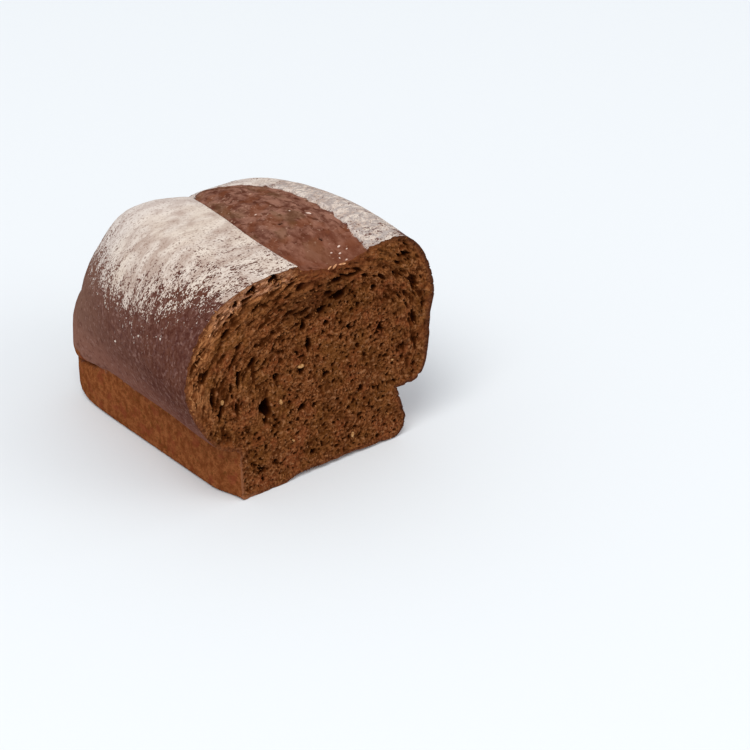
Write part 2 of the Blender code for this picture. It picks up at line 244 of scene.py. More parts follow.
def tin_height(y):
    """How high the tin's share reaches at this distance from the slice."""
    return TIN_HEIGHT - TIN_FALL * smooth(TIN_FALL_START, LENGTH, y)


def wall_heights(radius, top):
    """Heights up a tin wall: close together in the rounded corner, then even to the rim."""
    corner = [radius * (1 - math.cos(a)) for a in spread(0.0, math.pi / 2, STEPS["corner"])]
    return corner + spread(radius, top, STEPS["tin"])


def outline(y):
    """The loaf's outline across, as (x, z) points clockwise from the right end of the base."""
    share = y / LENGTH
    left = mix(LEFT_REACH, LEFT_REACH_FAR, share)
    right = mix(RIGHT_REACH, RIGHT_REACH_FAR, share)
    crown = CROWN_HEIGHT - CROWN_FALL * share**2
    fading = 1 - smooth(SCORE_TIP, SCORE_GONE, y)
    crown_right = crown + RIGHT_CROWN_RISE * smooth(0.0, SCORE_TIP, y) * fading
    edge_left, edge_right, open_share = score_edges(y)
    crown_right -= RIGHT_CROWN_DIP * (1 - smooth(0.0, SCORE_WIDEST, y))
    waist = TIN_RIGHT - RIGHT_WAIST
    top = tin_height(y)
    square = mix(SQUARE_UPPER_LEFT, SQUARE_UPPER_LEFT_FAR, share)

    points = []
    arch = BASE_ARCH * (1 - smooth(0.0, ARCH_DEPTH, y))
    for x in spread(TIN_RIGHT - CORNER_RIGHT, -TIN_LEFT + CORNER_LEFT, STEPS["base"]):
        lift = smooth(ARCH_LEFT, ARCH_LEFT + ARCH_RUN, x)
        points.append((x, arch * lift * max(1 - (x / TIN_RIGHT) ** 2, 0.0)))
    for z in wall_heights(CORNER_LEFT, top):
        points.append((-TIN_LEFT + corner_inset(z, CORNER_LEFT), z))
    for across, up in quarter(
        left - TIN_LEFT, LEFT_BELLY - top, SQUARE_UNDER_LEFT, STEPS["under"], False
    ):
        points.append((-TIN_LEFT - across, LEFT_BELLY - up))
    for across, up in quarter(
        left - LEFT_SHOULDER, crown - LEFT_BELLY, square, STEPS["upper"], True
    ):
        points.append((-LEFT_SHOULDER - across, LEFT_BELLY + up))

    lip_left = mix(LIP_LEFT, LIP_LEFT_FAR, smooth(SCORE_WIDEST, SCORE_TIP, y))
    lip_left *= math.sqrt(open_share)
    lip_right = LIP_RIGHT * open_share
    burst = open_share * mix(-BOWL, BURST, smooth(0.0, SCORE_WIDEST, y))
    for x in spread(-LEFT_SHOULDER, edge_left - LIP_RUN, STEPS["shoulder"]):
        points.append((x, crown))
    points.append((edge_left - LIP_RUN, crown))
    points.append((edge_left - LIP_RUN / 2, crown - lip_left / 3))
    for i, x in enumerate(spread(edge_left, edge_right, STEPS["score"])):
        across = i / STEPS["score"]
        level = mix(crown - lip_left, crown_right - lip_right, across)
        points.append((x, level + burst * math.sin(math.pi * across)))
    points.append((edge_right, crown_right - lip_right))
    shoulder = max(RIGHT_SHOULDER, edge_right + 2 * LIP_RUN)
    for x in spread(edge_right + LIP_RUN, shoulder, STEPS["shoulder"]):
        points.append((x, crown_right))
    for across, up in quarter(
        right - shoulder, crown_right - RIGHT_BELLY, SQUARE_UPPER_RIGHT, STEPS["upper"], False
    ):
        points.append((shoulder + across, RIGHT_BELLY + up))
    for across, up in quarter(
        right - waist, RIGHT_BELLY - top, SQUARE_UNDER_RIGHT, STEPS["under"], True
    ):
        across -= RIGHT_STEP * smooth(0.0, 6 * MM, up) * across / (right - waist)
        points.append((waist + across, RIGHT_BELLY - up))
    for z in reversed(wall_heights(CORNER_RIGHT, top) + [top]):
        lean = RIGHT_WAIST * max(z - CORNER_RIGHT, 0.0) / (top - CORNER_RIGHT)
        points.append((TIN_RIGHT - lean - corner_inset(z, CORNER_RIGHT), z))
    return points[:-1]


def above_tin(y, z):
    """0 on the tin's share of the height, 1 on the risen top, and a short rise between them."""
    return smooth(-3 * MM, 5 * MM, z - tin_height(y))


def end_square(z):
    """How square the loaf's far end is in plan at this height."""
    tin_to_belly = min(max((z - TIN_HEIGHT) / (LEFT_BELLY - TIN_HEIGHT), 0.0), 1.0)
    belly_to_crown = min(max((z - LEFT_BELLY) / (CROWN_HEIGHT - LEFT_BELLY), 0.0), 1.0)
    square = mix(SQUARE_END_TIN, SQUARE_END_BELLY, tin_to_belly)
    return square + (SQUARE_END_CROWN - SQUARE_END_BELLY) * belly_to_crown


def crust_point(x, y, z):
    """A point of the outline, moved to where the crust really is: closed in, pinched and uneven."""
    share = y / LENGTH
    below_rim = 1 - above_tin(y, z)
    on_left = smooth(0.3, 1.0, -x / TIN_LEFT)
    beside_score = smooth(0.0, 8 * MM, score_edges(y)[0] - x)
    beside_score = max(beside_score, smooth(SCORE_TIP - 12 * MM, SCORE_GONE, y))
    at_rim = 1 - smooth(0.0, 1.6 * MM, abs(z - tin_height(y)))
    opening = smooth(CRACK_START, CRACK_START + 9 * MM, y)
    closing = smooth(CRACK_END - 5 * MM, CRACK_END, y)
    x += CRACK_DEPTH * opening * (1 - closing) * on_left * at_rim
    x += PINCH * (1 - smooth(0.0, PINCH_LENGTH, y)) * below_rim * on_left
    x *= shrink(share, end_square(z))
    if z > END_HUB:
        z = END_HUB + (z - END_HUB) * shrink(share, SQUARE_END_TOP)
    elif z < tin_height(y) and share > FOOT_FROM:
        along = (share - FOOT_FROM) / (1 - FOOT_FROM)
        z += FOOT_RISE * (1 - math.sqrt(1 - along**2)) * (1 - z / tin_height(y))
    y -= END_OVERHANG * smooth(FOOT_FROM, 1.0, share) * below_rim

    point = Vector((x, y, z))
    outward = Vector((x, 0.0, z - END_HUB)).normalized()
    lump = 1 - smooth(0.0, LUMP_RADIUS, (point - Vector(LUMP_PLACE)).length)
    swell = SWELL * noise.noise(point / SWELL_LENGTH) * smooth(0.0, SWELL_FROM, z)
    return point + outward * (LUMP_RISE * lump * beside_score + swell)


def ring_places():
    """Distances of the rings from the slice: even, then closing up over the far end."""
    places = spread(0.0, LENGTH * STRAIGHT_SHARE, STRAIGHT_RINGS)
    start = math.asin(STRAIGHT_SHARE**2)
    end = math.asin(END_FACE**2)
    for i in range(END_RINGS):
        angle = mix(start, end, i / (END_RINGS - 1))
        places.append(LENGTH * math.sqrt(math.sin(angle)))
    return places


# What each place of the surface is like.
def rise_from_rim(x, y, z):
    """Millimetres up the surface from the tin's rim, below 0 on the wall the tin held."""
    top = tin_height(y)
    if z < top:
        return (z - top) / MM
    notch = TIN_LEFT if x < 0 else TIN_RIGHT - RIGHT_WAIST
    rise = math.hypot(max(abs(x) - notch, 0.0), z - top)
    pale_end = 8 * MM * smooth(104 * MM, 130 * MM, y)
    return (rise - pale_end) / MM


def into_score(x, y, z):
    """Millimetres in from the score's nearer edge, below 0 outside the score."""
    left, right, open_share = score_edges(y)
    if z < CROWN_HEIGHT - 14 * MM or open_share == 0.0:
        return OUTSIDE_SCORE
    return min(x - left, right - x) / MM


def flour_cover(x, y, z):
    """How thick the flour lies: 1 hides the crust, 0 covers half of it, -1 and less leaves it bare."""
    left, right, open_share = score_edges(y)
    middle = mix(99.5 * MM, 79 * MM, smooth(6 * MM, 74 * MM, y))
    fade = mix(8 * MM, 18 * MM, smooth(0.0, 42 * MM, y)) - 4 * MM * smooth(50 * MM, 70 * MM, y)
    cover_left = min((z - middle) / fade, 2.0)
    middle = mix(100 * MM, 88 * MM, smooth(0.0, 36 * MM, y))
    fade = mix(2 * MM, 8 * MM, smooth(0.0, 36 * MM, y))
    thickest = mix(0.5, 0.85, smooth(12 * MM, 30 * MM, y))
    cover_right = min((z - middle) / fade, thickest)
    blend = mix(2 * MM, 20 * MM, smooth(SCORE_TIP - 10 * MM, SCORE_GONE, y))
    cover = mix(cover_left, cover_right, smooth(-blend, blend, x - (left + right) / 2))
    if open_share > 0:
        edge = smooth(-1.0 * MM, 0.2 * MM, left - x) + smooth(-2.2 * MM, -0.6 * MM, x - right)
        cover = mix(BARE, cover, min(edge, 1.0))
    return max(cover, BARE)


def score_hole(x, y, z):
    """Depth in millimetres of the holes torn in the score at this place."""
    deepest = 0.0
    for across, back, half, depth in SCORE_HOLES:
        reach = math.hypot(x / MM - across, y / MM - back) / half
        deepest = max(deepest, depth * smooth(1.0, 0.35, reach))
    return deepest * smooth(CROWN_HEIGHT - 16 * MM, CROWN_HEIGHT - 12 * MM, z)


def edge_distances(points, rim):
    """How far points of the slice are from the crust's outline, as one array."""
    nearest = np.full(len(points), 1.0)
    for start, end in zip(rim, np.roll(rim, -1, axis=0)):
        along = end - start
        length = max(float(along @ along), 1e-12)
        share = np.clip((points - start) @ along / length, 0.0, 1.0)
        away = points - start - share[:, None] * along
        nearest = np.minimum(nearest, np.hypot(away[:, 0], away[:, 1]))
    return nearest


def inside(points, rim):
    """Which points of the slice lie within the outline, as one array."""
    within = np.zeros(len(points), bool)
    for start, end in zip(rim, np.roll(rim, -1, axis=0)):
        if start[1] == end[1]:
            continue
        level = (start[1] > points[:, 1]) != (end[1] > points[:, 1])
        crossing = start[0] + (end[0] - start[0]) * (points[:, 1] - start[1]) / (end[1] - start[1])
        within ^= level & (points[:, 0] < crossing)
    return within


def grid(spacing, chance):
    """Staggered points over the whole width and height of the loaf, a little off their places."""
    columns = np.arange(-LEFT_REACH, RIGHT_REACH, spacing)
    rows = np.arange(0.0, CROWN_HEIGHT + 2 * MM, spacing * 0.87)
    x, z = np.meshgrid(columns, rows)
    x[1::2] += spacing / 2
    points = np.stack([x.ravel(), z.ravel()], axis=1)
    return points + chance.uniform(-0.12, 0.12, points.shape) * spacing


def pocket_depths(points):
    """Depth of the torn pockets at each point of the slice, in millimetres."""
    depths = np.zeros(len(points))
    for i, (across, up, half_width, half_height, turn, depth) in enumerate(POCKETS):
        angle = math.radians(turn)
        dx = points[:, 0] / MM - across
        dz = points[:, 1] / MM - up
        along = (dx * math.cos(angle) + dz * math.sin(angle)) / half_width
        beside = (dz * math.cos(angle) - dx * math.sin(angle)) / half_height
        bearing = np.arctan2(beside, along)
        ragged = 1 + 0.16 * np.sin(3 * bearing + i) + 0.1 * np.sin(5 * bearing + 2 * i)
        reach = np.hypot(along, beside) / ragged
        depths = np.maximum(depths, depth * smooth_each(1.0, 0.35, reach))
    return depths


def crumb_flow(x, z):
    """Where a place of the slice lies in the crumb's layers: inward from the crust, and along them."""
    above = z - LAYERS_BEND
    sideways = abs(x) / (LEFT_REACH if x < 0 else RIGHT_REACH)
    if above <= 0:
        return LAYERS_DEEP * (1 - sideways), math.copysign(LAYERS_ROUND * math.pi / 2 - above / MM, x)
    upward = above / (CROWN_HEIGHT - LAYERS_BEND)
    return LAYERS_DEEP * (1 - math.hypot(sideways, upward)), LAYERS_ROUND * math.atan2(x, above)


class Skin:
    """Points of the loaf's surface, each with what its place is like, and the faces between them."""

    FACTS = ("rise", "score", "flour", "edge", "pocket", "inward", "around", "streak", "gold", "crumb")

    def __init__(self):
        self.points = []
        self.facts = {name: [] for name in self.FACTS}
        self.faces = []
        self.is_crumb = []

    def add(self, point, **facts):
        self.points.append(point)
        for name in self.FACTS:
            self.facts[name].append(facts.get(name, 0.0))
        return len(self.points) - 1

    def face(self, corners, crumb=False):
        self.faces.append(corners)
        self.is_crumb.append(int(crumb))

    def fill(self, ring, added, crumb):
        """Triangles across a ring of points, with the added points inside it."""
        everything = ring + added
        places = [Vector((self.points[i].x, self.points[i].z)) for i in everything]
        edges = [(i, (i + 1) % len(ring)) for i in range(len(ring))]
        _, _, faces, sources, _, _ = geometry.delaunay_2d_cdt(places, edges, [], 1, 1e-7)
        for face in faces:
            corners = [everything[sources[i][0]] for i in face]
            self.face(corners if crumb else corners[::-1], crumb)

    def mesh(self):
        data = bpy.data.meshes.new("skin")
        data.from_pydata([p + TO_MIDDLE for p in self.points], [], self.faces)
        for name in self.FACTS:
            layer = data.attributes.new(name, "FLOAT", "POINT")
            layer.data.foreach_set("value", np.array(self.facts[name], np.float32))
        data.polygons.foreach_set("material_index", np.array(self.is_crumb, np.int32))
        return data


def loaf_skin():
    """The whole surface of the loaf, before its fine relief."""
    skin = Skin()
    rings = []
    for y in ring_places():
        ring = []
        for x, z in outline(y):
            point = crust_point(x, y, z)
            ring.append(skin.add(
                point,
                rise=rise_from_rim(point.x, y, z),
                score=into_score(x, y, z),
                flour=flour_cover(x, y, point.z),
                pocket=score_hole(x, y, z),
                edge=y / MM,
            ))
        rings.append(ring)
    count = len(rings[0])
    for near, far in zip(rings, rings[1:]):
        for i in range(count):
            j = (i + 1) % count
            skin.face((near[i], near[j], far[j], far[i]))

    chance = np.random.default_rng(5)
    last = rings[-1]
    rim = np.array([(skin.points[i].x, skin.points[i].z) for i in last])
    points = grid(END_SPACING, chance)
    points = points[inside(points, rim)]
    away = edge_distances(points, rim)
    added = []
    for (x, z), distance in zip(points[away > 0.5 * END_SPACING], away[away > 0.5 * END_SPACING]):
        dome = END_DOME * smooth(0.0, END_DOME_RUN, distance)
        y = LENGTH * END_FACE + mix(-END_OVERHANG, dome, above_tin(LENGTH, z))
        added.append(skin.add(
            Vector((x, y, z)),
            rise=rise_from_rim(x, LENGTH, z), score=OUTSIDE_SCORE, flour=-2.0, edge=LENGTH / MM,
        ))
    skin.fill(last, added, False)

    first = rings[0]
    rim = np.array([(skin.points[i].x, skin.points[i].z) for i in first])
    points = grid(CRUMB_SPACING, chance)
    points = points[inside(points, rim)]
    away = edge_distances(points, rim)
    points = points[away > 0.5 * CRUMB_SPACING]
    away = away[away > 0.5 * CRUMB_SPACING]
    pockets = pocket_depths(points)
    added = []
    for (x, z), distance, pocket in zip(points, away, pockets):
        inward, around = crumb_flow(x, z)
        reach = mix(STREAKS_RIGHT, STREAKS_LEFT, smooth(16 * MM, -24 * MM, x))
        near_side = smooth(reach, 0.5 * reach, inward) * smooth(22 * MM, 56 * MM, z)
        on_left = smooth(2 * MM, -26 * MM, x) * smooth(38 * MM, 62 * MM, z)
        upper = smooth(68 * MM, 86 * MM, z) * smooth(-64 * MM, -50 * MM, x)
        upper = 1 + 0.7 * upper * smooth(9 * MM, 5 * MM, distance)
        on_right = smooth(26 * MM, 44 * MM, x) * smooth(30 * MM, 44 * MM, z)
        added.append(skin.add(
            Vector((x, 0.0, z)), edge=distance / MM * (1 - 0.3 * on_right), pocket=pocket,
            inward=inward, around=around, streak=near_side, crumb=1.0,
            gold=on_left * upper * smooth(12 * MM, 7 * MM, distance),
        ))
    skin.fill(first, added, True)
    return skin.mesh()


# Node trees.
class Wire:
    """What a node gives, with arithmetic that adds Math nodes to its tree."""

    def __init__(self, board, socket):
        self.board = board
        self.socket = socket

    def also(self, name):
        """Another output of the same node."""
        return Wire(self.board, self.socket.node.outputs[name])

    def __add__(self, other):
        return self.board.math("ADD", self, other)

    def __radd__(self, other):
        return self.board.math("ADD", other, self)

    def __sub__(self, other):
        return self.board.math("SUBTRACT", self, other)

    def __rsub__(self, other):
        return self.board.math("SUBTRACT", other, self)

    def __mul__(self, other):
        return self.board.math("MULTIPLY", self, other)

    def __rmul__(self, other):
        return self.board.math("MULTIPLY", other, self)

    def __truediv__(self, other):
        return self.board.math("DIVIDE", self, other)


class Board:
    """A node tree that nodes are put on one by one."""

    def __init__(self, tree):
        self.tree = tree

    def node(self, kind, settings=None, sockets=None, out=0):
        """Any node, with its settings first and then the values or wires of its sockets."""
        made = self.tree.nodes.new(kind)
        for name, value in (settings or {}).items():
            setattr(made, name, value)
        for key, value in (sockets or {}).items():
            if isinstance(value, Wire):
                self.tree.links.new(value.socket, made.inputs[key])
            else:
                made.inputs[key].default_value = value
        return Wire(self, made.outputs[out]) if made.outputs else made

    def math(self, operation, first, second):
        return self.node("ShaderNodeMath", {"operation": operation}, {0: first, 1: second})

    def larger(self, first, second):
        return self.math("MAXIMUM", first, second)

    def smooth(self, low, high, value):
        """0 at low, 1 at high, and an even rise between them; low may be the larger."""
        return self.node(
            "ShaderNodeMapRange", {"interpolation_type": "SMOOTHSTEP"}, {0: value, 1: low, 2: high}
        )

    def parts(self, vector, out=0):
        """A vector's part along X, or that along Y or Z for out 1 or 2."""
        return self.node("ShaderNodeSeparateXYZ", None, {0: vector}, out)

    def vector(self, x, y, z):
        return self.node("ShaderNodeCombineXYZ", None, {0: x, 1: y, 2: z})

    def added(self, first, second):
        """The sum of two vectors."""
        return self.node("ShaderNodeVectorMath", {"operation": "ADD"}, {0: first, 1: second})

    def stretch(self, vector, by):
        """A vector with each part multiplied."""
        return self.node("ShaderNodeVectorMath", {"operation": "MULTIPLY"}, {0: vector, 1: by})

    def scaled(self, vector, by):
        """A vector multiplied by one number."""
        return self.node("ShaderNodeVectorMath", {"operation": "SCALE"}, {0: vector, "Scale": by})

    def noise(self, vector, size, detail=2.0, rough=0.5, twist=0.0):
        """Soft noise about 0.5 with features of this size in the vector's own unit."""
        sockets = {"Vector": vector, "Scale": 1 / size, "Detail": detail}
        sockets.update({"Roughness": rough, "Distortion": twist})
        return self.node("ShaderNodeTexNoise", None, sockets)

    def wave(self, vector, size, by, detail=2.0, rough=0.5, twist=0.0):
        """The same noise about 0, at most about half of by each way."""
        return (self.noise(vector, size, detail, rough, twist) - 0.5) * by

    def patches(self, vector, size, low, high, detail=2.0, rough=0.5):
        """Soft patches of this size: 0 where the noise is at low, 1 where it is at high."""
        return self.smooth(low, high, self.noise(vector, size, detail, rough))

    def cells(self, vector, size):
        """Distance to the nearest cell's middle in cells; its Color is chance, cell by cell."""
        return self.node("ShaderNodeTexVoronoi", None, {"Vector": vector, "Scale": 1 / size})

    def loose(self, vector, size, by):
        """A vector of soft noise about 0, at most about half of by each way."""
        chance = self.noise(vector, size).also("Color")
        sockets = {0: chance, 1: (0.5, 0.5, 0.5)}
        centred = self.node("ShaderNodeVectorMath", {"operation": "SUBTRACT"}, sockets)
        return self.stretch(centred, (by, by, by))

    def shaken(self, vector, size, by):
        """A vector moved about by such noise."""
        return self.added(vector, self.loose(vector, size, by))

    def tint(self, share, first, second):
        """From the first colour to the second."""
        sockets = {0: share, 6: first, 7: second}
        return self.node("ShaderNodeMix", {"data_type": "RGBA"}, sockets, out=2)

    def tinted(self, base, *tints):
        """A colour with tints laid over it in turn, each given as its share and its colour."""
        for share, tone in tints:
            base = self.tint(share, base, tone)
        return base


def colour(red, green, blue):
    """A colour given as it looks on screen, from 0 to 255, for a node's socket."""
    parts = [(part / 255) ** 2.2 for part in (red, green, blue)]
    return (*parts, 1.0)


# The fine relief of crust and crumb.
def pores(board, place):
    """Depth in millimetres of the crumb's air holes, over places in millimetres."""
    deepest = 0.0
    for size, shut, least, most in PORES:
        cell = board.cells(place, size)
        chance = board.parts(cell.also("Color"))
        radius = least + chance.also("Y") * (most - least)
        is_open = board.math("GREATER_THAN", chance, shut)
        depth = board.smooth(radius, radius * 0.35, cell) * is_open * radius * size * 2.0
        deepest = board.larger(depth, deepest)
    return deepest


def relief_tree():
    """Moves the plain skin: leathery crust, torn score, dusted flour and holed crumb."""
    tree = bpy.data.node_groups.new("bread_relief", "GeometryNodeTree")
    tree.interface.new_socket("Skin", in_out="INPUT", socket_type="NodeSocketGeometry")
    for name in RELIEF:
        tree.interface.new_socket(name, in_out="INPUT", socket_type="NodeSocketFloat")
    tree.interface.new_socket("Bread", in_out="OUTPUT", socket_type="NodeSocketGeometry")
    board = Board(tree)
    given = board.node("NodeGroupInput")

    def fact(name):
        return board.node("GeometryNodeInputNamedAttribute", {"data_type": "FLOAT"}, {"Name": name})

    place = board.stretch(board.node("GeometryNodeInputPosition"), (1 / MM, 1 / MM, 1 / MM))
    edge = fact("edge")
    streak = fact("streak")

    flattened = board.stretch(place, (1.0, 1.0, 0.4))
    wrinkle = board.wave(place, 8.0, 1.6, 3.0) + board.wave(flattened, 2.0, 0.9, 3.0, 0.6)
    crust = wrinkle * given.also("Wrinkle")
    in_score = board.smooth(-0.3, 1.2, fact("score"))
    torn = board.wave(board.stretch(place, (1.0, 0.55, 1.0)), 5.0, 2.2, 2.5, 0.5, 0.6)
    gaps = board.smooth(0.3, 0.1, board.cells(place, 4.2)) * board.patches(place, 6.0, 0.5, 0.62)
    crust = crust + in_score * (torn * given.also("Tear") - gaps * given.also("Tear") * 1.1)
    on_tin = board.smooth(0.5, -1.5, fact("rise"))
    pitted = board.smooth(0.34, 0.1, board.cells(place, 1.9))
    pitted = pitted + board.smooth(0.3, 0.1, board.cells(place, 4.7))
    crust = crust - on_tin * pitted * given.also("Pit")
    dust = board.smooth(-0.6, 1.0, fact("flour") + board.wave(place, 1.1, 3.0, 3.0))
    crust = crust + dust * given.also("Flour")
    crust = crust * board.smooth(0.0, 3.0, board.parts(place, 2))

    flow = board.vector(fact("inward"), fact("around") / 2.6, 0.0)
    long_flow = board.vector(fact("inward"), fact("around") / 3.2, 3.0)
    open_crumb = pores(board, board.shaken(place, 2.2, 3.2))
    drawn_crumb = pores(board, board.shaken(flow, 2.2, 2.2))
    holes = open_crumb * (1 - streak) + drawn_crumb * streak
    torn_crumb = board.wave(place, 2.4, 3.2, 4.0, 0.6, 0.4) + board.wave(place, 7.0, 2.2)
    drawn = board.wave(board.shaken(flow, 4.0, 2.0), 1.7, 3.0, 3.0, 0.6)
    drawn = (drawn + board.wave(flow, 4.4, 5.0)) * streak
    long_cell = board.cells(board.shaken(long_flow, 3.0, 4.0), 3.8)
    is_long = board.math("GREATER_THAN", board.parts(long_cell.also("Color")), 0.42)
    channels = board.smooth(0.42, 0.12, long_cell) * is_long * streak
    behind_crust = board.smooth(0.8, 3.4, edge + board.wave(place, 3.0, 3.0, 3.0))
    hollow = holes * given.also("Pore") + (torn_crumb + drawn) * given.also("Ridge")
    hollow = hollow + channels * given.also("Channel") + 0.45
    hollow = hollow * (behind_crust * 0.85 + 0.15) * board.smooth(0.0, 0.8, edge) + fact("pocket")
    crumb = hollow * fact("crumb")

    crust = (crust - fact("pocket")) * (1 - fact("crumb"))
    push = board.scaled(board.node("GeometryNodeInputNormal"), crust * MM)
    nibbled = board.patches(place, 3.2, 0.5, 0.64, 4.0, 0.6) * board.smooth(3.4, 0.2, edge)
    sink = board.vector(0.0, crumb * MM, 0.0)
    back = board.vector(0.0, nibbled * given.also("Rim") * MM, 0.0)
    named = board.node(
        "GeometryNodeStoreNamedAttribute", {"data_type": "FLOAT", "domain": "POINT"},
        {"Geometry": given, "Name": "hollow", "Value": crumb},
    )
    offset = board.added(push, board.added(sink, back))
    moved = board.node("GeometryNodeSetPosition", None, {"Geometry": named, "Offset": offset})
    board.node("NodeGroupOutput", None, {0: moved})
    return tree


def with_tree(data, tree, values):
    """The mesh that a node tree makes of a plain one, with the tree's named inputs set."""
    carrier = bpy.data.objects.new("carrier", data)
    bpy.context.scene.collection.objects.link(carrier)
    modifier = carrier.modifiers.new("tree", "NODES")
    modifier.node_group = tree
    for item in tree.interface.items_tree:
        if item.in_out == "INPUT" and item.name in values:
            modifier[item.identifier] = values[item.name]
    evaluated = carrier.evaluated_get(bpy.context.evaluated_depsgraph_get())
    made = bpy.data.meshes.new_from_object(evaluated)
    bpy.data.objects.remove(carrier)
    return made


def only(data, index, name):
    """The faces of a mesh that carry one material index, as a mesh of their own."""
    kept = bmesh.new()
    kept.from_mesh(data)
    gone = [face for face in kept.faces if face.material_index != index]
    bmesh.ops.delete(kept, geom=gone, context="FACES")
    for face in kept.faces:
        face.material_index = 0
        face.smooth = True
    part = bpy.data.meshes.new(name)
    kept.to_mesh(part)
    kept.free()
    return part


# Materials.
def finish_board(name, shine=0.05):
    """A new material's board, and its surface shader."""
    material = bpy.data.materials.new(name)
    material.use_nodes = True
    shader = material.node_tree.nodes["Principled BSDF"]
    shader.inputs["Specular IOR Level"].default_value = shine
    return material, Board(material.node_tree), shader


def feed(board, shader, name, wire):
    board.tree.links.new(wire.socket, shader.inputs[name])


def shader_place(board):
    """Object coordinates in millimetres."""
    place = board.node("ShaderNodeTexCoord", out=3)
    return board.stretch(place, (1 / MM, 1 / MM, 1 / MM))


def shader_fact(board, name):
    return board.node("ShaderNodeAttribute", {"attribute_name": name}, out=2)


def bump(board, shader, height, distance, strength=1.0):
    sockets = {"Height": height, "Distance": distance, "Strength": strength}
    feed(board, shader, "Normal", board.node("ShaderNodeBump", None, sockets))


def crust_material():
    """Dark top, orange-brown tin walls, torn score with its holes painted dark as shade, and a dusting of
    flour.
    """
    material, board, shader = finish_board("baked_crust", 0.0)
    place = shader_place(board)
    across = board.parts(place)
    along = across.also("Y") + LENGTH / MM / 2
    rise = shader_fact(board, "rise")
    from_score = shader_fact(board, "score")
    cover = shader_fact(board, "flour")
    fine = board.noise(place, 0.8, 3.0, 0.65)
    middling = board.noise(place, 3.4, 4.0, 0.65)
    broad = board.noise(place, 17.0)
    patch = board.smooth(0.36, 0.64, middling)
    running = board.stretch(place, (0.3, 1.0, 0.3))
    pulled = board.shaken(board.stretch(place, (1.0, 0.5, 1.0)), 6.0, 5.0)
    rounder = board.stretch(place, (0.65, 1.0, 0.65))

    dark = board.tinted(
        board.tint(patch, colour(76, 43, 36), colour(93, 60, 51)),
        (board.smooth(0.4, 0.65, broad) * 0.4, colour(96, 59, 44)),
        (board.smooth(0.38, 0.62, fine) * 0.25, colour(112, 80, 70)),
        (board.patches(place, 2.4, 0.54, 0.66, 3.0, 0.6) * 0.35, colour(114, 86, 84)),
        (board.patches(place, 1.8, 0.42, 0.34) * 0.5, colour(62, 34, 28)),
        (board.patches(running, 1.3, 0.52, 0.66, 3.0, 0.6) * 0.35, colour(118, 84, 74)),
        (board.smooth(20.0, 80.0, along) * 0.35, colour(118, 86, 76)),
        (board.smooth(70.0, 128.0, along) * 0.6, colour(128, 98, 84)),
        (board.smooth(34.0, 6.0, rise) * 0.42, colour(146, 98, 84)),
        (board.smooth(0.48, 0.34, middling) * 0.45, colour(78, 46, 40)),
        (board.patches(place, 2.2, 0.54, 0.68, 3.0, 0.6) * 0.45, colour(150, 116, 106)),
    )
    tin = board.tinted(
        board.tint(patch, colour(112, 62, 36), colour(142, 86, 53)),
        (board.smooth(0.5, 0.34, fine) * 0.6, colour(88, 50, 24)),
        (board.patches(place, 6.0, 0.54, 0.66, 3.0) * 0.5, colour(122, 60, 42)),
        (board.patches(place, 2.0, 0.6, 0.68) * 0.45, colour(84, 58, 26)),
    )
    in_tin = board.smooth(1.2, -1.2, rise + board.wave(place, 5.0, 9.0, 4.0, 0.6))
    torn = board.tinted(
        board.tint(
            board.patches(pulled, 4.2, 0.36, 0.64, 5.0, 0.6), colour(92, 56, 45), colour(144, 103, 87)
        ),
        (board.patches(pulled, 2.4, 0.42, 0.34, 3.0) * 0.7, colour(72, 38, 26)),
        (board.patches(place, 9.0, 0.5, 0.64, 3.0) * 0.5, colour(120, 72, 50)),
        (board.patches(pulled, 11.0, 0.52, 0.62) * 0.35, colour(104, 80, 56)),
        (board.patches(place, 1.6, 0.64, 0.72) * 0.6, colour(180, 146, 124)),
        (board.smooth(36.0, 6.0, along) * 0.55, colour(112, 66, 48)),
        # Painted shade: the holes torn in the score are darkened by their depth.
        (board.smooth(0.25, 1.2, shader_fact(board, "pocket")), colour(44, 22, 14)),
    )
    in_score = board.smooth(-0.6, 0.5, from_score + (middling - 0.5) * 2.4)

    sifted = board.wave(rounder, 0.9, 3.2, 2.0, 0.6) + board.wave(place, 0.8, 2.4, 1.0)
    sifted = sifted + board.wave(rounder, 4.2, 3.4, 3.0, 0.6)
    ragged = board.wave(place, 6.0, 5.0) + (middling - 0.5) * 2.4 + (fine - 0.5) * 0.8
    floured = board.smooth(-0.2, 0.24, cover + sifted) * board.smooth(0.5, -0.3, from_score + ragged)
    smeared = board.stretch(place, (0.6, 1.0, 0.6))
    thin = board.patches(place, 1.1, 0.54, 0.66) * board.smooth(2.3, 0.8, cover)
    on_right = board.smooth(12.0, 26.0, across) * board.patches(rounder, 1.8, 0.44, 0.56, 3.0, 0.6)
    on_lip = board.smooth(-2.6, -1.0, from_score) * board.smooth(0.46, 0.6, middling)
    flour = board.tinted(
        board.tint(
            board.patches(smeared, 6.0, 0.36, 0.64, 5.0, 0.6), colour(182, 161, 148), colour(216, 202, 190)
        ),
        (board.smooth(0.46, 0.64, broad) * 0.5, colour(226, 211, 195)),
        (board.smooth(72.0, 108.0, along) * 0.5, colour(214, 205, 200)),
        (thin * 0.7, colour(140, 112, 100)),
        (on_right * board.smooth(98.0, 72.0, along) * 0.6, colour(148, 138, 136)),
        (on_lip * 0.6, colour(226, 212, 202)),
    )
    skin = board.tinted(dark, (in_tin, tin), (in_score, torn), (floured, flour))
    feed(board, shader, "Base Color", skin)
    feed(board, shader, "Roughness", 0.62 + floured * 0.3 - broad * 0.08)
    bump(board, shader, fine + middling, 0.3 * MM, 0.9)
    return material


